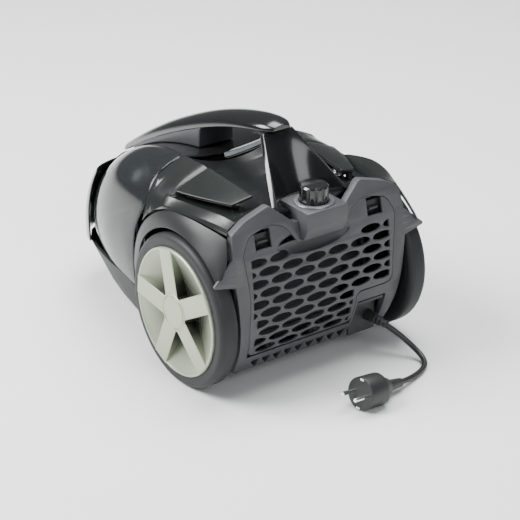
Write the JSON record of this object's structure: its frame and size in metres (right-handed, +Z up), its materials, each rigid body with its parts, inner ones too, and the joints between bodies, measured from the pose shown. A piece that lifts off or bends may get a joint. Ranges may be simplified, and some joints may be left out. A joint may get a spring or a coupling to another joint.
{
  "type": "canister vacuum cleaner",
  "caption": "Bagless canister vacuum cleaner with large rear wheels, clear lift-off dust container, exhaust door, cord reel and mains plug.",
  "frame": {"origin": "on the floor under the middle of the body, without the mains cord and plug", "axes": "+Z up; +Y from the hose inlet at the front to the exhaust door at the back; +X to the machine's left side as it is pulled along"},
  "size_m": [0.292, 0.5059, 0.2804],
  "materials": {
    "shell_black": "glossy black",
    "shell_dark": "satin dark grey",
    "frame_grey": "satin mid grey with a metallic fleck",
    "hubcap_champagne": "satin champagne grey-green",
    "tyre_rubber": "satin rubber",
    "soft_rubber": "matt",
    "clear_smoke": "smoky clear plastic",
    "inner_plastic": "matt",
    "steel": "brushed",
    "nickel": "polished nickel",
    "filter_paper": "pleated filter paper",
    "board_green": "circuit board",
    "cord_pvc": "satin pvc",
    "pedal_dark": "glossy dark green-grey"
  },
  "bodies": {
    "body": {"chassis_base": "shell_dark", "vent_skirt": "shell_dark", "cord_bay": "shell_black", "bulkhead": "shell_dark", "wheel_housing_left": "shell_dark", "wheel_housing_right": "shell_dark", "axles": "steel", "fender_left": "shell_dark", "fender_right": "shell_dark", "upper_housing": "shell_black", "rear_frame": "frame_grey", "knob_housing": "frame_grey", "knob_ring": "frame_grey", "handle_pillar": "shell_black", "control_board": "board_green", "main_switch": "inner_plastic", "motor_case": "inner_plastic", "motor_mounts": "soft_rubber", "motor_stator": "steel", "motor_filter": "filter_paper", "exhaust_filter": "filter_paper", "reel_frame": "inner_plastic", "caster_socket": "shell_dark", "cord_gland": "soft_rubber", "body_screws": "steel", "power_spring": "steel", "rewind_spring": "steel", "cord": "cord_pvc", "plug_body": "soft_rubber", "plug_contacts": "nickel"},
    "wheel_left": {"tyre_left": "tyre_rubber", "wheel_core_left": "inner_plastic", "hubcap_left": "hubcap_champagne"},
    "wheel_right": {"tyre_right": "tyre_rubber", "wheel_core_right": "inner_plastic", "hubcap_right": "hubcap_champagne"},
    "caster_swivel": {"caster_fork": "inner_plastic", "caster_axle": "steel"},
    "caster_roller": {"caster_wheel": "inner_plastic"},
    "knob": {"power_knob": "shell_black"},
    "power_pedal": {"power_pedal": "pedal_dark"},
    "rewind_pedal": {"rewind_pedal": "pedal_dark"},
    "switch_plunger": {"switch_plunger": "inner_plastic"},
    "brake_lever": {"brake_lever": "inner_plastic"},
    "reel": {"reel_drum": "inner_plastic", "cord_winding": "cord_pvc"},
    "motor_rotor": {"motor_shaft": "steel", "fan_impeller": "steel"},
    "exhaust_door": {"exhaust_grille": "frame_grey"},
    "latch_left": {"grille_latch_left": "shell_dark"},
    "latch_right": {"grille_latch_right": "shell_dark"},
    "container": {"dust_container": "clear_smoke", "container_base": "shell_black", "inlet_port": "shell_black", "front_fascia": "shell_black", "handle_spine": "frame_grey", "spine_cover": "shell_black", "cyclone_cone": "clear_smoke", "dust_filter": "filter_paper"},
    "release_button": {"release_button": "shell_dark"}
  },
  "joints": [
    {"name": "wheel_left_spin", "type": "hinge", "parent": "body", "child": "wheel_left", "pos_m": [0.13, 0.1175, 0.088], "axis": [1, 0, 0], "continuous": true},
    {"name": "wheel_right_spin", "type": "hinge", "parent": "body", "child": "wheel_right", "pos_m": [-0.13, 0.1175, 0.088], "axis": [1, 0, 0], "continuous": true},
    {"name": "caster_turn", "type": "hinge", "parent": "body", "child": "caster_swivel", "pos_m": [0, -0.14, 0.045], "axis": [0, 0, 1], "continuous": true},
    {"name": "caster_roll", "type": "hinge", "parent": "caster_swivel", "child": "caster_roller", "pos_m": [0, -0.13, 0.018], "axis": [1, 0, 0], "continuous": true},
    {"name": "knob_turn", "type": "hinge", "parent": "body", "child": "knob", "pos_m": [0, 0.176, 0.203], "axis": [0, 0, -1], "range_deg": [0, 270]},
    {"name": "power_press", "type": "hinge", "parent": "body", "child": "power_pedal", "pos_m": [0.088, 0.068, 0.212], "axis": [-1, 0, 0], "range_deg": [0, 4], "stiffness_Nm_per_rad": 12, "springref_deg": -1.15, "deforming": ["power_spring"]},
    {"name": "rewind_press", "type": "hinge", "parent": "body", "child": "rewind_pedal", "pos_m": [-0.088, 0.068, 0.212], "axis": [-1, 0, 0], "range_deg": [0, 4], "stiffness_Nm_per_rad": 12, "springref_deg": -1.15, "deforming": ["rewind_spring"]},
    {"name": "plunger_slide", "type": "slide", "parent": "body", "child": "switch_plunger", "axis": [0, 0, -1], "range_m": [0, 0.0045]},
    {"name": "brake_turn", "type": "hinge", "parent": "body", "child": "brake_lever", "pos_m": [-0.084, 0.118, 0.179], "axis": [-1, 0, 0], "range_deg": [0, 17]},
    {"name": "reel_spin", "type": "hinge", "parent": "body", "child": "reel", "pos_m": [-0.068, 0.096, 0.098], "axis": [1, 0, 0], "continuous": true},
    {"name": "motor_spin", "type": "hinge", "parent": "body", "child": "motor_rotor", "pos_m": [0.036, 0.1, 0.098], "axis": [0, 1, 0], "continuous": true},
    {"name": "door_open", "type": "hinge", "parent": "body", "child": "exhaust_door", "pos_m": [0, 0.17565, 0.0487], "axis": [-1, 0, 0], "range_deg": [0, 44]},
    {"name": "latch_left_press", "type": "slide", "parent": "exhaust_door", "child": "latch_left", "axis": [0, 0, -1], "range_m": [0, 0.003], "stiffness_N_per_m": 300, "springref_m": -0.002},
    {"name": "latch_right_press", "type": "slide", "parent": "exhaust_door", "child": "latch_right", "axis": [0, 0, -1], "range_m": [0, 0.003], "stiffness_N_per_m": 300, "springref_m": -0.002},
    {"name": "container_lift", "type": "slide", "parent": "body", "child": "container", "axis": [0, -0.7071, 0.7071], "range_m": [0, 0.12]},
    {"name": "release_press", "type": "slide", "parent": "container", "child": "release_button", "axis": [0, -0.9701, -0.2425], "range_m": [0, 0.004], "stiffness_N_per_m": 300, "springref_m": -0.002}
  ],
  "couplings": [
    {"joint": "plunger_slide", "follows": "power_press", "m_per_rad": 0.0635},
    {"joint": "brake_turn", "follows": "rewind_press", "ratio": 4}
  ]
}
